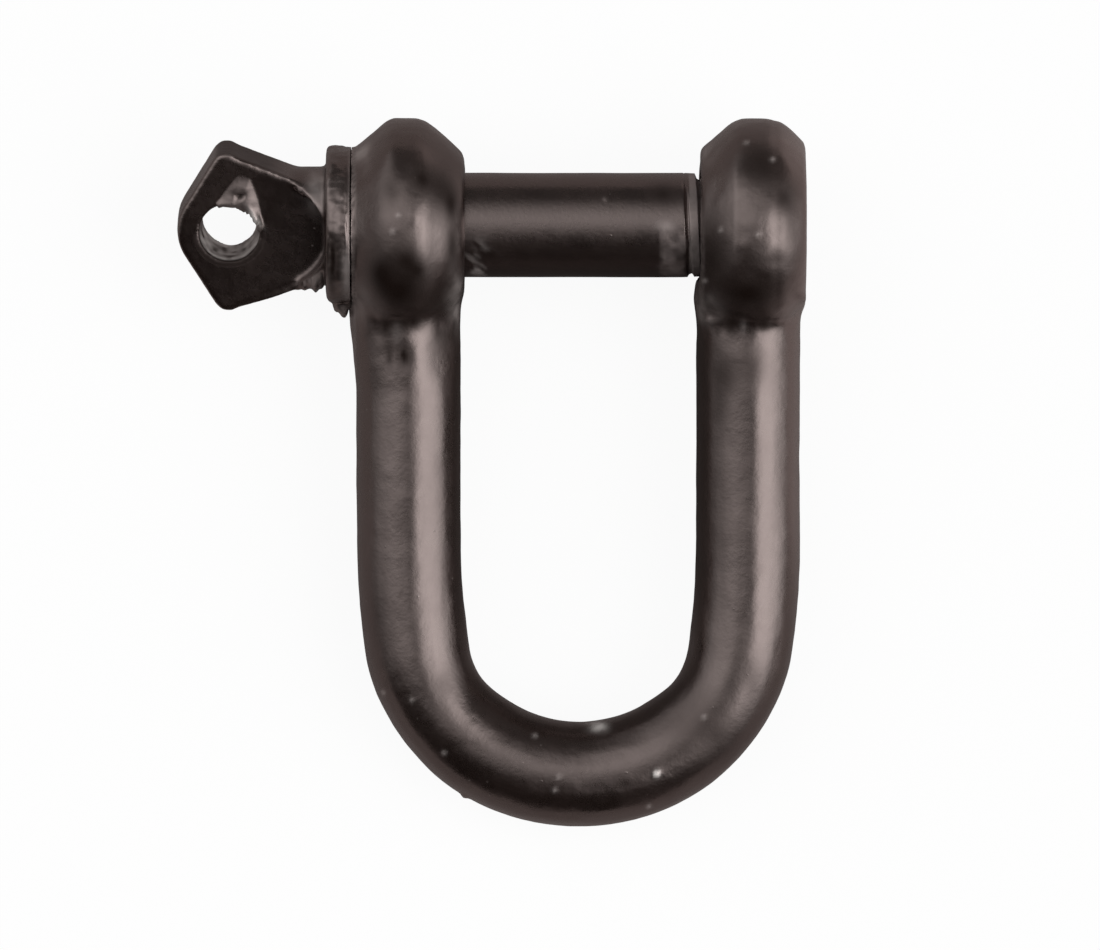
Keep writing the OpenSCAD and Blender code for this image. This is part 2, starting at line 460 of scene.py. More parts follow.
# Spots on the bow: X and Y seen from above, reach across and along, and strength
# Where a lug is fuller than its plain turned form, and a corner pressed out toward the jaw
LUG_SWELLS = (
    ((-19.2, -6.2), 1.5, 2.4, 0.50),
    ((-19.0, 0.5), 1.3, 3.5, 0.20),
    ((13.2, -6.5), 1.8, 2.6, 0.65),
)
PRESSED_CORNER = (((11.2, -7.0), 1.2, 1.6, 0.30),)
LEG_PITS = (
    ((-18.04, -12.63), 0.36, 0.95, 1),
    ((-16.75, -12.3), 0.42, 0.75, 1),
    ((-16.5, -12.9), 0.6, 0.9, 1),
)
LEG_BURR = (((12.6, -9.1), 0.9, 0.28, 1),)
LUG_NICK = (((21.4, -7.0), 0.6, 0.45, 0.28),)
CROWN_BURR = (((-10.86, -54.6), 0.35, 0.35, 0.3),)
WHITE_CHIP = (((7.51, -52.5), 0.36, 0.40, 1),)
INNER_CHIP = (((1.87, -48.05), 0.8, 0.45, 1),)
# Where painted shade darkens and dulls the bow
BOW_PAINTED_SHADE = (
    ((12.6, -3.6), 2.2, 3.0, 0.80),
    ((-17.0, -6.6), 2.4, 2.1, 1.00),
    ((-16.3, -3.4), 1.6, 1.5, 0.85),
    ((-19.0, -4.5), 1.3, 1.7, 0.75),
    ((-18.4, -9.8), 0.5, 0.9, 0.80),
    ((-15.7, -9.4), 0.7, 0.6, 0.80),
    ((16.2, -6.7), 2.6, 1.9, 1.00),
    ((14.6, -9.6), 0.6, 0.8, 0.80),
    ((17.7, -9.6), 0.8, 0.6, 0.80),
    ((-18.2, -0.4), 1.3, 2.8, 0.22),
    ((15.4, 0.2), 1.6, 3.0, 0.18),
    ((-13.1, 3.2), 1.5, 2.4, 0.80),
    ((-12.0, -2.4), 0.6, 2.2, 0.80),
    ((-12.0, 1.6), 0.7, 1.6, 0.60),
    ((20.2, 0.2), 1.1, 3.2, 0.35),
    ((18.6, -3.4), 1.5, 0.9, 0.60),
    ((19.3, 2.4), 1.1, 1.5, 0.70),
    ((15.6, 5.2), 1.1, 1.2, 0.50),
    ((17.7, 4.5), 1.2, 1.3, 0.55),
    ((17.3, 6.4), 1.6, 1.6, 0.60),
    ((-17.8, 3.4), 1.0, 1.8, 0.45),
    ((-15.0, -4.6), 0.9, 0.9, 0.50),
    ((-15.0, 4.2), 1.0, 1.4, 0.80),
    ((12.3, 0.0), 0.9, 2.4, 0.35),
    ((16.8, -13.6), 1.2, 1.8, 0.35),
    ((16.5, -43.4), 1.2, 2.4, 0.35),
    ((13.5, -49.2), 1.6, 1.8, 0.35),
    ((-13.1, -10.6), 0.9, 1.4, 0.50),
    ((14.0, -14.2), 1.6, 2.2, 0.60),
    ((13.6, -17.6), 1.0, 1.8, 0.30),
    ((-19.2, -36.5), 0.9, 4.5, 0.25),
    ((-13.0, -44.0), 1.6, 1.6, 0.30),
    ((-14.0, -25.0), 0.8, 8.0, 0.08),
    ((13.0, -26.0), 1.5, 13.0, 0.22),
    ((11.0, -47.5), 5.0, 4.0, 0.40),
)
# Where the finish is rubbed thin, and how pale the steel is there
BOW_RUBS = (
    ((-20.8, 6.8), 0.9, 1.5, 1.60),
    ((12.1, 7.0), 0.9, 1.2, 0.80),
    ((12.2, -8.2), 1.2, 1.2, 1.10),
    ((15.7, -9.9), 0.3, 0.8, 0.60),
    ((-11.6, -7.2), 0.8, 2.4, 1.20),
    ((-20.8, -7.8), 0.8, 1.5, 0.45),
    ((-17.3, -10.4), 0.45, 0.8, 0.60),
)
BOW_RUB_PALE = 0.07
# Small raised specks, by place alone
SPECK_R = 0.22
BOW_SPECKS = (
    (15.93, 7.66), (18.42, 6.03), (-17.08, 0.67), (-17.66, -0.86), (13.44, -0.67), (16.99, -1.15),
    (12.01, -5.45), (-18.71, -44.78), (-15.93, -45.45), (-12.87, -50.53), (-1.87, -52.82),
    (-2.25, -54.07), (-4.16, -48.9), (12.01, -47.08), (6.75, -55.69),
)
# The tapped lug's rim toward the jaw, where a highlight is painted, by X and Y
JAW_RIM_X, JAW_RIM_Y, JAW_RIM_EDGE = (12.1, 11.8), (-9, 3), 2.0

# The sleeve with the tapped lug's screw thread, and the room that the lug leaves for it
LINER_SIDES = 96
LINER_STEP = 0.1
LINER_INSET = 0.12
LINER_OUTER_R = 5.8
LINER_ROOM_R = 5.72
LINER_PROUD = 0.02
LINER_CREST_R = TAPPED_BORE_R - LINER_PROUD
LINER_DEPTH = 0.55
MOUTH_CHAMFER, MOUTH_SLOPE = 0.6, 1.2
BORE_MARGIN = 0.3


def along_bar(plane):
    """Places on the bow as the distance across the bar, the distance along it and the height."""
    out = np.abs(plane[:, 0]) - SHOULDER_X
    down = SHOULDER_Y - plane[:, 1]
    bent = down > 0
    across = np.where(bent, np.hypot(out, down), out)
    along = np.where(bent, -SHOULDER_R * np.arctan2(down, out), -down)
    return np.stack([across, along + LEG_SHIFT * np.sign(plane[:, 0]), plane[:, 2]], axis=1)


def thin_the_bends(skin):
    """The bar is a little thinner across each shoulder, where bending drew it out."""
    plane = turned(skin.points, -REST_TILT)
    side = np.sign(plane[:, 0])
    out = np.abs(plane[:, 0]) - SHOULDER_X
    down = SHOULDER_Y - plane[:, 1]
    reach = np.hypot(out, down)
    angle = np.degrees(np.arctan2(down, out))
    weight = band(THIN_AT, THIN_OVER, angle) * smoothstep(0, 4, out)
    shift = -THIN_SHARE * weight * (reach - SHOULDER_R) / np.maximum(reach, LEAST_REACH)
    plane[:, 0] += side * shift * out
    plane[:, 1] -= shift * down
    skin.points = turned(plane, REST_TILT)


def true_seat(skin):
    """The plain lug keeps a crisp rim and land round the face that the collar turns against."""
    points = skin.points
    reach = off_axis(points)
    at_seat = smoothstep(PLAIN_FACE_X + 0.7, PLAIN_FACE_X + 0.35, points[:, 0])
    rim = at_seat * band(SEAT_RIM_R, SEAT_RIM_WIDTH, reach)
    furthest = np.minimum(points[:, 0], PLAIN_FACE_X)
    points[:, 0] = np.maximum(points[:, 0] - SEAT_RIM_DEPTH * rim, furthest)
    land = at_seat * within(*SEAT_LAND, SEAT_LAND_EDGE, reach)
    move_off_axis(points, reach + land * np.clip(SEAT_LAND_R - reach, 0, None))


def blend_lugs(skin):
    """Fillets between the lugs and the legs, and rounded edges, but not at the collar's seat."""
    plane = turned(skin.points, -REST_TILT)
    near_lugs = smoothstep(*LUG_BLEND_Y, plane[:, 1])
    under_lugs = near_lugs * (1 - smoothstep(*LUG_UNDERSIDE_Y, plane[:, 1]))
    off_seat = smoothstep(PLAIN_FACE_X + 0.2, PLAIN_FACE_X + 0.9, plane[:, 0])
    skin.fill_hollows(FILLET_ROUNDS, under_lugs * FILLET_WEIGHT)
    skin.smooth(UNDER_ROUNDS, under_lugs)
    skin.smooth(NEAR_ROUNDS, near_lugs * off_seat)
    skin.smooth(ALL_ROUNDS, off_seat)
    top = facing_up(skin.normals())
    for place in EASED_CRESTS:
        skin.smooth(EASING_ROUNDS, top * dab(skin.points, place, *EASED_REACH))
    true_seat(skin)


def bevel_fullness(points, normals):
    """How full the bevels toward the threaded end are, from 0 at their edges to 1 midway."""
    facing = smoothstep(0.25, 0.5, normals[:, 0]) * (1 - smoothstep(0.8, 0.95, normals[:, 0]))
    facing *= smoothstep(*BEVEL_FROM_Y, turned(points, -REST_TILT)[:, 1])
    total = np.zeros(len(points))
    for low, high in FULL_BEVELS:
        along = np.clip((points[:, 0] - low) / (high - low), 0, 1)
        total += 4 * along * (1 - along)
    return facing * total


def forge_bow(skin):
    """Fullness and unevenness of the forging, rougher round the lugs."""
    points, normals = skin.points, skin.normals()
    plane = turned(points, -REST_TILT)
    near_lugs = smoothstep(*LUG_BLEND_Y, plane[:, 1])
    top = facing_up(normals)
    toward_jaw = smoothstep(0.3, 0.8, -normals[:, 0])
    pinch = band(PINCH_X, PINCH_WIDTH, points[:, 0]) * within(*PINCH_Y, PINCH_EDGE, points[:, 1])
    ridge = top * band(RIDGE_X, RIDGE_WIDTH, points[:, 0]) * within(*RIDGE_Y, RIDGE_EDGE, points[:, 1])
    height = layers(plane, BOW_UNEVENNESS) + near_lugs * layers(plane, LUG_UNEVENNESS)
    height += (1 - near_lugs) * layers(along_bar(plane) * BAR_GRAIN_STRETCH, BAR_GRAIN)
    height += top * within(*FLASH_Y, FLASH_EDGE, points[:, 1]) * layers(plane * FLASH_STRETCH, FLASH)
    height += BEVEL_RISE * bevel_fullness(points, normals)
    height += top * (spots(points, LUG_SWELLS) - PINCH_DEPTH * pinch)
    height += toward_jaw * spots(points, PRESSED_CORNER)
    height += skin.mark(ridge, rise=RIDGE_RISE, wear=RIDGE_WEAR)
    skin.raise_by(height)


def paint_rim_highlights(skin, normals):
    """Two rims get painted highlights: the one under the collar, and the tapped lug's toward the jaw."""
    x, y = skin.points[:, 0], skin.points[:, 1]
    seat = smoothstep(PLAIN_FACE_X + 0.5, PLAIN_FACE_X + 0.2, x)
    jaw_rim = smoothstep(*JAW_RIM_X, x) * smoothstep(0.2, 0.5, -normals[:, 0])
    jaw_rim *= (x > 0) * within(*JAW_RIM_Y, JAW_RIM_EDGE, y)
    skin.mark(seat, wear=0.7)
    skin.mark(jaw_rim, wear=0.5)


def mark_bow(skin):
    """Pits, burrs, specks and chips in the places where the photograph has them."""
    points, normals = skin.points, skin.normals()
    top = facing_up(normals)
    pits = top * spots(points, LEG_PITS)
    specks = top * spots(points, [(place, SPECK_R, SPECK_R, 1) for place in BOW_SPECKS])
    burr = top * spots(points, LEG_BURR)
    white = top * spots(points, WHITE_CHIP) ** 2
    inner = spots(points, INNER_CHIP) * smoothstep(-0.2, 0.2, normals[:, 2])
    broken = 1 + 0.6 * rough_noise(points, 0.8, seed=97)
    rubbed = patchy(points, 1.4, seed=53) * top * spots(points, BOW_RUBS)
    # Painted shade darkens and dulls the bow at these spots
    skin.mark(top * spots(points, BOW_PAINTED_SHADE), dirt=1)
    skin.mark(rubbed, wear=1, chip=BOW_RUB_PALE)
    skin.mark(inner * broken, chip=0.55)
    paint_rim_highlights(skin, normals)
    # Pits are sunk and also painted darker, as painted shade
    height = skin.mark(pits, rise=-0.07, dirt=0.7)
    height += skin.mark(specks, rise=0.05, wear=1, chip=0.12)
    height += skin.mark(burr, rise=0.2, wear=0.5)
    height += skin.mark(white, rise=0.12, chip=1.4)
    height += skin.mark(inner, rise=0.08)
    height += spots(points, LUG_NICK) * smoothstep(0.3, 0.8, normals[:, 0])
    height += spots(points, CROWN_BURR) * (1 - top)
    skin.raise_by(height)


def open_bore(skin):
    """Room for the screw thread in the tapped lug."""
    reach = off_axis(skin.points)
    in_bore = (reach < TAPPED_BORE_R + BORE_MARGIN) & (skin.points[:, 0] > TAPPED_LUG[0] - BORE_MARGIN)
    move_off_axis(skin.points, np.where(in_bore, LINER_ROOM_R, reach))


def thread_liner():
    """The screw thread cut in the tapped lug, as a sleeve with chamfered mouths."""
    from_x, to_x = TAPPED_LUG[0] + LINER_INSET, TAPPED_LUG[1] - LINER_INSET
    inside = np.arange(from_x, to_x, LINER_STEP)
    radii = LINER_CREST_R + LINER_DEPTH * (1 - thread_groove(inside, LINER_SIDES))
    mouth = np.maximum(from_x + MOUTH_CHAMFER - inside, inside - (to_x - MOUTH_CHAMFER))
    radii = np.maximum(radii, (LINER_CREST_R + MOUTH_SLOPE * mouth)[:, None])
    sleeve = rings(inside, np.minimum(radii, LINER_OUTER_R))
    back = rings(np.array([from_x, to_x]), np.full((2, LINER_SIDES), LINER_OUTER_R))
    loop = np.concatenate([back[1:], sleeve[::-1], back[:1]])
    return ring_mesh("thread_liner", loop, capped=False)


def build_bow():
    skin = Skin(skin_of("bow_forging", "shackle_bow", BOW_VOXEL))
    skin.even_out(BOW_EVENING_ROUNDS)
    blend_lugs(skin)
    thin_the_bends(skin)
    skin.rub_edges_and_shade_hollows(*BOW_PROUD, BOW_EDGE_WEAR, seed=83)
    forge_bow(skin)
    mark_bow(skin)
    open_bore(skin)
    return join(skin, thread_liner(), {})


# The screw pin

HEAD_VOXEL = 0.14
HEAD_EVENING_ROUNDS, HEAD_SMOOTH_ROUNDS = 16, 4
# How far an edge stands proud where its rounding and its rubbing start and where they are full
HEAD_SHARP, HEAD_ROUNDING_ROUNDS = (0.0008, 0.003), 24
HEAD_PROUD, HEAD_EDGE_WEAR = (0.003, 0.009), 0.6
# The head is cut off this far short of the collar's seat, which smoothing shrinks and which then moves out
HEAD_CUT, SEAT_SHIFT = 0.03, 0.07
# The collar's worn rim starts between these radii and ends this far below the collar's own
SEAT_RIM_FROM, SEAT_RIM_PLAY = (6.95, 7.15), 0.03

# How far the eye closes in all round, and further at its sides
EYE_NARROWS, EYE_SIDES_NARROW = 0.08, 0.26
# The torn lip above the eye: angles about the eye in degrees, and its reach and rise
TORN_FROM, TORN_PEAK, TORN_TO = 2, 78, 114
TORN_RIM, TORN_REACH, TORN_RISE = 0.35, 2.65, 0.48
# How its edge falls from the peak toward the pin and away from it, and the share that stays level
TORN_FALL_IN, TORN_FALL_OUT, TORN_LEVEL = 2.6, 1.7, 0.12
# A pit in painted shade and a streak with a painted highlight in the lip, in the paddle's face, and the
# streak's slant in degrees
HEAD_PIT = ((-32.3, 3.87), 0.34, 0.3)
STREAK, STREAK_SLANT, STREAK_SIZE = (-30.85, 1.75), 57, (0.95, 0.17)
FACE_UNEVENNESS = ((0.02, 4.0, 3), (0.008, 1.2, 7))

# Forging flash under the paddle and the neck, burrs on it as X and height, and lumps under the collar
NECK_FLASH, FLASH_FROM_X, FLASH_TO_X = 0.5, (-35, -28), (-24.2, -24.6)
NECK_BURRS = ((-26.8, 0.10), (-26.2, 0.18), (-25.15, 0.38))
BURR_WIDTH = 0.26
COLLAR_LUMPS = ((-22.8, 0.75), (-22.1, 0.6))
LUMP_Z, LUMP_SIZE = -0.4, (0.6, 1.3)
# A hollow in the collar, in painted shade, and its dents as layers of height, wavelength and seed
COLLAR_HOLLOW = ((-23.5, -3.6), 0.5, 2.4)
COLLAR_DENTS = ((0.15, 3.0, 47), (0.07, 0.9, 49))
# Where the collar and the neck are rubbed, as spots, and how pale the steel is there
NECK_RUBS = (
    ((-22.9, 1.2), 0.75, 2.5, 0.4),
    ((-22.0, -5.4), 0.5, 3.0, 1.8),
    ((-25.0, 3.4), 0.8, 1.8, 1.5),
    ((-25.0, -5.5), 1.0, 0.9, 0.7),
)
NECK_RUB_PALE = 0.08
# The paddle's upper edge is painted darker, as painted shade, from the neck outward
SHADED_EDGE_X = (-27.5, -30)

# The shank: where it starts inside the collar, and the steps along its plain and its threaded length
SHANK_SIDES = 120
SHANK_INSET = 0.8
PLAIN_STEP, THREAD_STEP = 0.3, 0.06
# Marks on the shank, each by place and reach, and the slant of its scuffs in degrees
SCUFF, SCUFF_SLANT, SCUFF_STRETCH = ((-9.6, -3.8), 1.3, 1.7), 40, (0.35, 1, 0)
PIN_SPECK = ((2.54, 2.3), 0.2, 0.2)
# Painted shade on the shank near the tapped lug, and a painted highlight near its end
PIN_PAINTED_SHADE = ((8.0, 2.8), 1.3, 0.9)
PIN_PAINTED_HIGHLIGHT = ((8.3, -0.2), 0.8, 0.5)
# Where the shank is rubbed, where painted shade darkens it below that, and where its last ring beside the
# lug gets a painted highlight
RUBBED_X, RUBBED_Y = (7.6, 10.4), (-0.2, -1.0)
SHADED_BELOW_Y = (-1.6, -3.0)
LAST_RING_X = (10.45, TAPPED_LUG[0] + 0.2)
# Unevenness of the plain length, the scuffs, the rubbed end and its outline: height, wavelength and seed
PLAIN_END_X, PLAIN_UNEVENNESS = (9.3, 10.0), ((0.018, 5.0, 61),)
SCUFF_UNEVENNESS = ((0.09, 0.8, 67),)
RUBBED_UNEVENNESS = ((0.03, 0.9, 73),)
RUBBED_OUTLINE = ((0.3, 1.3, 75),)


def square_seat(skin):
    """The collar's rim beside the lug is worn square."""
    points, seat_x = skin.points, COLLAR_X[1]
    reach = off_axis(points)
    rim = smoothstep(*SEAT_RIM_FROM, reach) * smoothstep(seat_x - 0.6, seat_x - 0.4, points[:, 0])
    move_off_axis(points, reach + rim * np.clip(COLLAR_R - SEAT_RIM_PLAY - reach, 0, None))
    # The squared rim is painted pale as a painted highlight
    skin.mark(rim * smoothstep(seat_x - 0.35, seat_x - 0.1, points[:, 0]), wear=0.8)
    points[:, 0] += SEAT_SHIFT * smoothstep(seat_x - 0.3, seat_x - 0.1, points[:, 0])


def narrow_eye(skin):
    """The eye is punched from above and its sides close in, a little ragged, toward the far face."""
    head = turned(skin.points, -PADDLE_TURN)
    across, off = head[:, 0] - EYE_X, head[:, 1]
    reach = np.maximum(np.hypot(across, off), LEAST_REACH)
    depth = np.clip(0.5 - head[:, 2] / PADDLE_T, 0, 1)
    wall = 1 - smoothstep(EYE_R + 0.05, EYE_R + 0.6, reach)
    low_side = smoothstep(0.1, -0.5, off / reach)
    ragged = 1 + 0.3 * rough_noise(head, 2.4, seed=5)
    narrowing = wall * depth ** 2 * ragged * (EYE_NARROWS + EYE_SIDES_NARROW * np.abs(across) / reach)
    head[:, 0] -= across / reach * narrowing
    head[:, 1] -= off / reach * narrowing
    skin.points = turned(head, PADDLE_TURN)
    # The eye's lower wall is painted pale as a painted highlight, and its rim on that side darker as painted
    # shade
    scraped = 0.8 + 0.9 * rough_noise(head, 0.9, seed=9)
    worn_and_lit = scraped * wall * low_side * smoothstep(0.02, 0.15, depth)
    rim = within(EYE_R - 0.2, EYE_R + 0.7, 0.2, reach) * smoothstep(0.15, 0.02, depth)
    skin.paints["wear"] *= smoothstep(EYE_R + 0.5, EYE_R + 0.9, reach)
    skin.mark(worn_and_lit, wear=1, chip=0.36)
    skin.mark(rim * low_side, dirt=0.8)


def torn_lip(across, off):
    """The torn lip round the eye, from 0 at its outer edge to 1 at the eye."""
    reach = np.hypot(across, off)
    around = np.degrees(np.arctan2(off, across))
    inward = around < TORN_PEAK
    span = np.where(inward, TORN_PEAK - TORN_FROM, TORN_TO - TORN_PEAK)
    off_peak = np.clip(np.abs(around - TORN_PEAK) / span * (1 + TORN_LEVEL) - TORN_LEVEL, 0, 1)
    fall = np.where(inward, TORN_FALL_IN, TORN_FALL_OUT)
    outer = EYE_R + TORN_RIM + TORN_REACH * (1 - off_peak) ** fall
    return np.clip((outer - reach) / (outer - EYE_R + 0.01), 0, 1) * smoothstep(1, 0.85, off_peak)


def mark_face(skin):
    """A torn lip of metal stands up above the eye, with a sunk pit in painted shade and a raised streak with
    a painted highlight in it.
    """
    head = turned(skin.points, -PADDLE_TURN)
    face = smoothstep(0.5, 0.8, turned(skin.normals(), -PADDLE_TURN)[:, 2])
    lip = face * torn_lip(head[:, 0] - EYE_X, head[:, 1])
    torn = 0.9 + 0.25 * rough_noise(head, 1.2, seed=41)
    pit = face * dab(head, *HEAD_PIT)
    streak = face * dab(turned_flat(head, STREAK, STREAK_SLANT), (0, 0), *STREAK_SIZE)
    height = layers(head, FACE_UNEVENNESS) + TORN_RISE * lip * torn
    # The pit is painted dark as painted shade, and the streak pale as a painted highlight
    height += skin.mark(pit, rise=-0.5, dirt=1)
    height += skin.mark(streak, rise=0.18, chip=0.5)
    skin.mark(smoothstep(0.02, 0.2, lip) * (1 - pit), wear=0.6)
    skin.raise_by(height)


def hang_burrs(skin, under):
    """Flash and burrs left under the neck, and lumps under the collar."""
    x = skin.points[:, 0]
    drop = NECK_FLASH * smoothstep(*FLASH_FROM_X, x) * smoothstep(*FLASH_TO_X, x)
    for burr_x, rise in NECK_BURRS:
        drop += rise * band(burr_x, BURR_WIDTH, x)
    skin.points[:, 1] -= under * drop
    for lump_x, rise in COLLAR_LUMPS:
        lump = smoothstep(0.1, 0.6, dab(skin.points, (lump_x, LUMP_Z), *LUMP_SIZE, axes=(0, 2)))
        skin.points[:, 1] -= skin.mark(under * lump, rise=rise, wear=rise)


def mark_neck(skin):
    """Burrs under the neck and the collar, the collar's dents, what is rubbed there, and painted shade in
    the collar's hollow and along the paddle's upper edge.
    """
    normals = skin.normals()
    upper = smoothstep(0.1, 0.6, normals[:, 2])
    edge_on = smoothstep(0.5, 0.9, turned(normals, -PADDLE_TURN)[:, 1])
    hang_burrs(skin, smoothstep(0.5, 0.95, -normals[:, 1]))
    on_collar = smoothstep(COLLAR_X[0] - 0.1, COLLAR_X[0] + 0.3, skin.points[:, 0])
    on_collar *= 1 - smoothstep(COLLAR_X[1] - 0.5, COLLAR_X[1] - 0.2, skin.points[:, 0])
    hollow = upper * dab(skin.points, *COLLAR_HOLLOW)
    dents = on_collar * layers(skin.points, COLLAR_DENTS)
    # The collar's hollow is painted dark as painted shade
    skin.raise_by(dents + skin.mark(hollow, rise=-0.4, dirt=1.2))
    rubbed = patchy(skin.points, 1.3, seed=59) * upper * spots(skin.points, NECK_RUBS)
    skin.mark(rubbed, wear=1, chip=NECK_RUB_PALE)
    # Painted shade along the paddle's upper edge
    skin.mark(edge_on * smoothstep(*SHADED_EDGE_X, skin.points[:, 0]), dirt=0.55)


def build_head():
    skin = Skin(skin_of("screw_pin_forging", "screw_pin", HEAD_VOXEL, cut_x=COLLAR_X[1] - HEAD_CUT))
    skin.even_out(HEAD_EVENING_ROUNDS)
    skin.smooth(HEAD_SMOOTH_ROUNDS)
    from_eye = np.hypot(skin.points[:, 0] - EYE_X, skin.points[:, 1])
    skin.round_edges(HEAD_ROUNDING_ROUNDS, *HEAD_SHARP, smoothstep(EYE_R + 0.8, EYE_R + 1.4, from_eye))
    skin.rub_edges_and_shade_hollows(*HEAD_PROUD, HEAD_EDGE_WEAR, seed=89)
    square_seat(skin)
    narrow_eye(skin)
    mark_face(skin)
    mark_neck(skin)
    return skin


def shank_rings():
    """Rings along the shank and its screw thread, whose groove grows thin and shallow where it ends."""
    begin, full = THREAD_RUNOUT
    plain = np.arange(COLLAR_X[0] + SHANK_INSET, begin, PLAIN_STEP)
    threaded = np.arange(begin, TIP_X, THREAD_STEP)
    stations = np.concatenate([plain, threaded, [TIP_X]])
    cut_in = np.clip((stations - begin) / (full - begin), 0, 1)[:, None]
    groove = np.clip(thread_groove(stations, SHANK_SIDES) - (1 - cut_in), 0, None)
    radii = PIN_R - (PIN_R - THREAD_R) * cut_in - THREAD_DEPTH * groove
    chamfer = THREAD_R - TIP_CHAMFER + (TIP_X - stations)[:, None]
    return rings(stations, np.minimum(radii, chamfer))


def build_shank():
    """The shank and its paints: scuffed beside the plain lug, rubbed beside the thread, painted highlights
    on its last ring and near its end, painted shade below and near the tapped lug.
    """
    points = shank_rings()
    flat = points.reshape(-1, 3)
    x, y = flat[:, 0], flat[:, 1]
    top = smoothstep(0, 2, flat[:, 2])
    plain = 1 - smoothstep(*PLAIN_END_X, x)
    scuffed = top * dab(flat, *SCUFF)
    aslant = turned_flat(flat, (0, 0), SCUFF_SLANT) * SCUFF_STRETCH
    uneven = layers(flat, RUBBED_OUTLINE)
    rubbed = within(*RUBBED_X, 0.5, x + uneven) * smoothstep(*RUBBED_Y, y + uneven) * top
    height = plain * layers(flat, PLAIN_UNEVENNESS)
    height += scuffed * layers(aslant, SCUFF_UNEVENNESS)
    height += rubbed * layers(flat, RUBBED_UNEVENNESS)
    flat[:, 1:] *= (1 + height / PIN_R)[:, None]
    scraped = scuffed * smoothstep(-0.1, 0.5, rough_noise(aslant, 0.7, seed=71))
    last_ring = within(*LAST_RING_X, 0.2, x)
    painted_highlight = top * dab(flat, *PIN_PAINTED_HIGHLIGHT)
    wear = rubbed * (0.7 + 0.55 * rough_noise(flat, 0.9, seed=79))
    # The last ring and the spot near the end are painted pale as painted highlights
    wear += 1.3 * scraped + 1.5 * last_ring + 0.6 * painted_highlight + top * dab(flat, *PIN_SPECK)
    chip = 0.15 * scraped + 0.06 * last_ring + 0.08 * painted_highlight
    # Painted shade on the shank's lower side and near the tapped lug
    below = (1 - rubbed) * smoothstep(*SHADED_BELOW_Y, y)
    dirt = top * (0.8 * dab(flat, *PIN_PAINTED_SHADE) + 0.35 * below)
    return ring_mesh("pin_shank", points, capped=True), {"wear": wear, "chip": chip, "dirt": dirt}


def build_pin():
    head = build_head()
    shank, paints = build_shank()
    return join(head, shank, paints)


# Materials

# Dark and brown tones of each finish, and its roughness
BOW_TONES, BOW_ROUGHNESS = ((0.0060, 0.0030, 0.0022), (0.0090, 0.0048, 0.0036)), 0.28
PIN_TONES, PIN_ROUGHNESS = ((0.0056, 0.0028, 0.0021), (0.0085, 0.0045, 0.0034)), 0.27
FINISH_IOR = 2.2
SPECULAR_TINT = (1.0, 0.82, 0.78)
DUST = (0.11, 0.095, 0.09)
# Colour where painted shade darkens the finish
SHADE_TONE = (0.0065, 0.0034, 0.0024)
# Bare steel and pale chip colours, which painted highlights use as well
BARE_STEEL_AND_HIGHLIGHT = (0.12, 0.10, 0.095)
PALE_CHIP_AND_HIGHLIGHT = (0.85, 0.80, 0.77)
# What bare steel with its painted highlights, and painted shade, add to the roughness, and how painted shade
# takes the shine away
BARE_ROUGHNESS, SHADE_ROUGHNESS = 0.12, 0.3
CLEAN_SHINE, SHADED_SHINE = 0.5, 0.04
# Noise in the finish, in features a millimetre, with its detail
CLOUD, MOTTLE, GRAIN = (0.22, 5), (1.1, 3), (2.6, 3)
NOISE_ROUGHNESS = 0.55
# Dust specks: cells a millimetre, where a speck fades out in its cell, and the share of empty cells
SPECK_CELLS, SPECK_FADE, SPECK_EMPTY = 0.6, (0.03, 0.08), 0.7
# Weights of mottle, grain and specks in the bump, and its strength and height
BUMP_MOTTLE, BUMP_GRAIN, BUMP_SPECK = 0.25, 0.4, 0.4
BUMP_STRENGTH, BUMP_HEIGHT = 0.5, 0.08 * MM


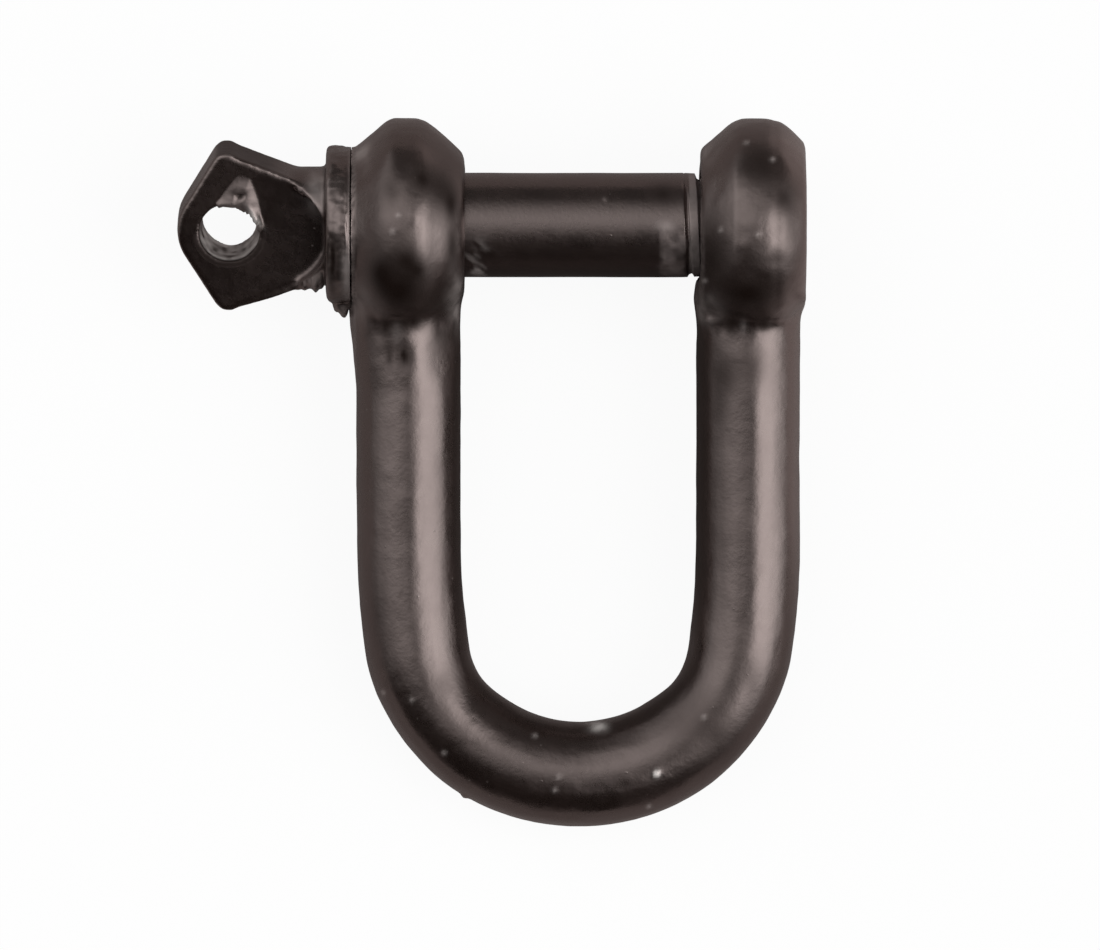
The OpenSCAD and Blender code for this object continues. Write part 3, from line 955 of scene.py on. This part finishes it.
class Tree:
    """The nodes of a material or a world, with the kinds of node that are used here."""

    def __init__(self, owner):
        owner.use_nodes = True
        self.nodes = owner.node_tree.nodes
        self.links = owner.node_tree.links

    def feed(self, socket, given):
        """Gives a socket a number, a colour or another socket's result."""
        if isinstance(given, tuple):
            socket.default_value = (*given, 1)
        elif isinstance(given, (int, float)):
            socket.default_value = given
        else:
            self.links.new(given, socket)

    def math(self, operation, first, second):
        node = self.nodes.new("ShaderNodeMath")
        node.operation = operation
        self.feed(node.inputs[0], first)
        self.feed(node.inputs[1], second)
        return node.outputs[0]

    def times(self, first, second):
        return self.math("MULTIPLY", first, second)

    def plus(self, first, second):
        return self.math("ADD", first, second)

    def ramp(self, source, from_range, to_range, smooth=False):
        """A socket carried from one range to another, clamped."""
        node = self.nodes.new("ShaderNodeMapRange")
        node.interpolation_type = "SMOOTHSTEP" if smooth else "LINEAR"
        node.inputs["From Min"].default_value, node.inputs["From Max"].default_value = from_range
        node.inputs["To Min"].default_value, node.inputs["To Max"].default_value = to_range
        self.feed(node.inputs["Value"], source)
        return node.outputs["Result"]

    def mix(self, share, first, second):
        """Two colours mixed by a share of the second."""
        node = self.nodes.new("ShaderNodeMix")
        node.data_type = "RGBA"
        self.feed(node.inputs["Factor"], share)
        self.feed(node.inputs["A"], first)
        self.feed(node.inputs["B"], second)
        return node.outputs["Result"]

    def noise(self, place, scale, detail):
        node = self.nodes.new("ShaderNodeTexNoise")
        self.feed(node.inputs["Scale"], scale)
        self.feed(node.inputs["Detail"], detail)
        self.feed(node.inputs["Roughness"], NOISE_ROUGHNESS)
        self.feed(node.inputs["Vector"], place)
        return node.outputs["Fac"]

    def painted(self, name):
        node = self.nodes.new("ShaderNodeAttribute")
        node.attribute_name = name
        return node.outputs["Fac"]

    def parts_of(self, vector):
        """The X, Y and Z of a vector."""
        node = self.nodes.new("ShaderNodeSeparateXYZ")
        self.feed(node.inputs["Vector"], vector)
        return node.outputs

    def seen_directly(self):
        """1 for what the camera looks at, also through something clear, and 0 in reflections."""
        path = self.nodes.new("ShaderNodeLightPath").outputs
        return self.math("MAXIMUM", path["Is Camera Ray"], path["Is Transmission Ray"])


def place_in_mm(tree):
    place = tree.nodes.new("ShaderNodeMapping")
    place.inputs["Scale"].default_value = (1 / MM, 1 / MM, 1 / MM)
    tree.feed(place.inputs["Vector"], tree.nodes.new("ShaderNodeTexCoord").outputs["Object"])
    return place.outputs["Vector"]


def dust_specks(tree, place):
    """Small round specks in some of the cells of a scattered grid."""
    cells = tree.nodes.new("ShaderNodeTexVoronoi")
    tree.feed(cells.inputs["Scale"], SPECK_CELLS)
    tree.feed(cells.inputs["Vector"], place)
    speck = tree.ramp(cells.outputs["Distance"], SPECK_FADE, (1, 0))
    pick = tree.nodes.new("ShaderNodeSeparateColor")
    tree.feed(pick.inputs["Color"], cells.outputs["Color"])
    return tree.times(speck, tree.math("GREATER_THAN", pick.outputs["Red"], SPECK_EMPTY))


def black_finish(name, tones, roughness):
    """Black finish on forged steel: uneven tone and gloss, grain, dust specks, bare and pale chips, painted
    highlights and painted shade.
    """
    material = bpy.data.materials.new(name)
    tree = Tree(material)
    shader = tree.nodes["Principled BSDF"].inputs
    tree.feed(shader["IOR"], FINISH_IOR)
    tree.feed(shader["Specular Tint"], SPECULAR_TINT)
    place = place_in_mm(tree)
    cloud = tree.noise(place, *CLOUD)
    mottle = tree.noise(place, *MOTTLE)
    grain = tree.noise(place, *GRAIN)
    speck = dust_specks(tree, place)
    # Bare steel here also carries painted highlights, and the darker mask carries painted shade
    worn_and_lit = tree.times(tree.painted("wear"), tree.ramp(mottle, (0.3, 0.6), (0.5, 1)))
    shade_mask = tree.painted("dirt")

    colour = tree.mix(tree.ramp(cloud, (0.35, 0.65), (0, 1)), *tones)
    colour = tree.mix(tree.times(speck, 0.5), colour, DUST)
    colour = tree.mix(shade_mask, colour, SHADE_TONE)
    colour = tree.mix(worn_and_lit, colour, BARE_STEEL_AND_HIGHLIGHT)
    colour = tree.mix(tree.painted("chip"), colour, PALE_CHIP_AND_HIGHLIGHT)
    tree.feed(shader["Base Color"], colour)

    gloss = tree.ramp(cloud, (0.3, 0.7), (roughness - 0.03, roughness + 0.03))
    gloss = tree.plus(gloss, tree.ramp(mottle, (0.3, 0.7), (-0.02, 0.02)))
    gloss = tree.plus(gloss, tree.times(worn_and_lit, BARE_ROUGHNESS))
    gloss = tree.plus(gloss, tree.times(shade_mask, SHADE_ROUGHNESS))
    tree.feed(shader["Roughness"], gloss)
    # Painted shade takes the shine away
    tree.feed(shader["Specular IOR Level"], tree.ramp(shade_mask, (0, 1), (CLEAN_SHINE, SHADED_SHINE)))

    height = tree.plus(tree.times(mottle, BUMP_MOTTLE), tree.times(grain, BUMP_GRAIN))
    height = tree.plus(height, tree.times(speck, BUMP_SPECK))
    bump = tree.nodes.new("ShaderNodeBump")
    tree.feed(bump.inputs["Strength"], BUMP_STRENGTH)
    tree.feed(bump.inputs["Distance"], BUMP_HEIGHT)
    tree.feed(bump.inputs["Height"], height)
    tree.feed(shader["Normal"], bump.outputs["Normal"])
    return material


def dress(skin, body, node, material):
    """Puts a finished skin in the place of its CAD node, inside the CAD box."""
    skin.points = np.clip(skin.points, np.array(CAD_BOX[0]) / MM, np.array(CAD_BOX[1]) / MM)
    skin.write()
    skin.store_paints()
    skin.obj.data.materials.clear()
    skin.obj.data.materials.append(material)
    skin.obj.data.shade_smooth()
    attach(skin.obj, body)
    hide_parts(node)


bow_black = black_finish("bow_black", BOW_TONES, BOW_ROUGHNESS)
pin_black = black_finish("pin_black", PIN_TONES, PIN_ROUGHNESS)
dress(build_bow(), "bow", "shackle_bow", bow_black)
dress(build_pin(), "pin", "screw_pin", pin_black)


# Floor, studio light and camera

FLOOR_HALF = 1.5
# How white the camera sees the floor, and how much of the object's shadow is left on it
SEEN_FLOOR = (0.95, 0.95, 0.95)
SHADE_SHARE = 0.07
# The floor in reflections: glow, and colour in the open, in the shackle's own shade and beside the light
MIRRORED_GLOW = 0.02
OPEN_FLOOR = (0.34, 0.295, 0.285)
SHADED_FLOOR = (0.085, 0.072, 0.068)
LIT_FLOOR = (0.71, 0.62, 0.60)
# The oval of shade, and as shares of its half sizes its soft edge and the lit floor's edges
SHADE_CENTRE_Y = -19 * MM
SHADE_HALF_WIDTH, SHADE_HALF_LENGTH = 20 * MM, 25 * MM
SHADE_EDGE = (0.6, 1.15)
LIT_EDGE_X, LIT_EDGE_Y = (0.9, 1.8), (-0.95, -0.3)

# Light of the room itself: dim straight above, and stronger from this many degrees up the picture
ROOM_DIM, ROOM_FAR, FAR_ANGLE = 0.01, 0.09, 60
# Each panel's strength, extent to the right and extent upward: four angles from straight above, in
# degrees, between which it fades in, holds and fades out
PANELS = (
    (1.40, (-115, -30, -22, 32), (-26, 14, 18, 60)),
    (0.55, (-115, -30, -26, 8), (-29, -8, 0, 26)),
    (3.1, (3, 35, 42, 112), (-44, -22, 6, 28)),
    (0.45, (-112, -85, -55, -25), (18, 38, 55, 80)),
)

CAMERA_DISTANCE = 1.0
FRAME_WIDTH = 105.26 * MM
FRAME_CENTRE = (-2.727 * MM, -23.92 * MM)
SENSOR = 36.0
CLIP_START = 0.01


def reflected_floor(tree):
    """The floor's colour in reflections: darker in the jaw, lighter to the right beside the legs."""
    oval = tree.nodes.new("ShaderNodeMapping")
    oval.inputs["Scale"].default_value = (1 / SHADE_HALF_WIDTH, 1 / SHADE_HALF_LENGTH, 0)
    oval.inputs["Location"].default_value = (0, -SHADE_CENTRE_Y / SHADE_HALF_LENGTH, 0)
    tree.feed(oval.inputs["Vector"], tree.nodes.new("ShaderNodeNewGeometry").outputs["Position"])
    length = tree.nodes.new("ShaderNodeVectorMath")
    length.operation = "LENGTH"
    tree.feed(length.inputs[0], oval.outputs["Vector"])
    in_open = tree.ramp(length.outputs["Value"], SHADE_EDGE, (0, 1), smooth=True)
    colour = tree.mix(in_open, SHADED_FLOOR, OPEN_FLOOR)
    across = tree.parts_of(oval.outputs["Vector"])
    toward_light = tree.ramp(across["X"], LIT_EDGE_X, (0, 1), smooth=True)
    beside_legs = tree.ramp(across["Y"], LIT_EDGE_Y, (0, 1), smooth=True)
    return tree.mix(tree.times(toward_light, beside_legs), colour, LIT_FLOOR)


def build_floor():
    """A floor that the camera sees white, with a faint shadow, and that the shackle reflects as grey."""
    mesh = bpy.data.meshes.new("floor")
    corners = [(-1, -1, 0), (1, -1, 0), (1, 1, 0), (-1, 1, 0)]
    mesh.from_pydata([(x * FLOOR_HALF, y * FLOOR_HALF, z) for x, y, z in corners], [], [(0, 1, 2, 3)])
    floor = link("floor", mesh)
    floor.location.z = CAD_BOX[0][2]
    material = bpy.data.materials.new("pale_floor")
    tree = Tree(material)
    tree.nodes.remove(tree.nodes["Principled BSDF"])
    seen = tree.seen_directly()
    mirrored = tree.nodes.new("ShaderNodeLightPath").outputs["Is Glossy Ray"]
    glow = tree.math("MAXIMUM", tree.times(seen, 1 - SHADE_SHARE), tree.times(mirrored, MIRRORED_GLOW))
    diffuse = tree.nodes.new("ShaderNodeBsdfDiffuse")
    tree.feed(diffuse.inputs["Color"], tree.mix(seen, reflected_floor(tree), SEEN_FLOOR))
    white = tree.nodes.new("ShaderNodeEmission")
    tree.feed(white.inputs["Color"], (1, 1, 1))
    mix = tree.nodes.new("ShaderNodeMixShader")
    tree.feed(mix.inputs["Fac"], glow)
    tree.feed(mix.inputs[1], diffuse.outputs[0])
    tree.feed(mix.inputs[2], white.outputs[0])
    tree.feed(tree.nodes["Material Output"].inputs["Surface"], mix.outputs[0])
    mesh.materials.append(material)


def soft_panel(tree, angle, limits):
    """How much of a panel lies at an angle, for the limits where it fades in, holds and fades out."""
    fade_in, hold_from, hold_to, fade_out = (math.radians(limit) for limit in limits)
    inside = tree.ramp(angle, (fade_in, hold_from), (0, 1), smooth=True)
    outside = tree.ramp(angle, (hold_to, fade_out), (1, 0), smooth=True)
    return tree.times(inside, outside)


def build_sky():
    """A dim room with weak panels overhead and a strong one to the right, but white to the camera."""
    world = bpy.data.worlds.new("studio")
    bpy.context.scene.world = world
    tree = Tree(world)
    x, y, z = tree.parts_of(tree.nodes.new("ShaderNodeTexCoord").outputs["Generated"])
    right = tree.math("ARCTAN2", x, z)
    up = tree.math("ARCSINE", y, 0)
    light = tree.ramp(up, (0, math.radians(FAR_ANGLE)), (ROOM_DIM, ROOM_FAR), smooth=True)
    for strength, across, along in PANELS:
        panel = tree.times(soft_panel(tree, right, across), soft_panel(tree, up, along))
        light = tree.plus(light, tree.times(panel, strength))
    background = tree.nodes["Background"].inputs
    tree.feed(background["Strength"], tree.math("MAXIMUM", light, tree.seen_directly()))
    tree.feed(background["Color"], (1, 1, 1))


def build_camera():
    """Looks straight down, with the photograph's framing."""
    data = bpy.data.cameras.new("camera")
    data.sensor_fit = "HORIZONTAL"
    data.sensor_width = SENSOR
    data.lens = SENSOR * CAMERA_DISTANCE / FRAME_WIDTH
    data.clip_start = CLIP_START
    camera = link("camera", data)
    camera.location = (*FRAME_CENTRE, CAMERA_DISTANCE)
    bpy.context.scene.camera = camera


build_floor()
build_sky()
build_camera()
bpy.context.scene.view_settings.view_transform = "Standard"
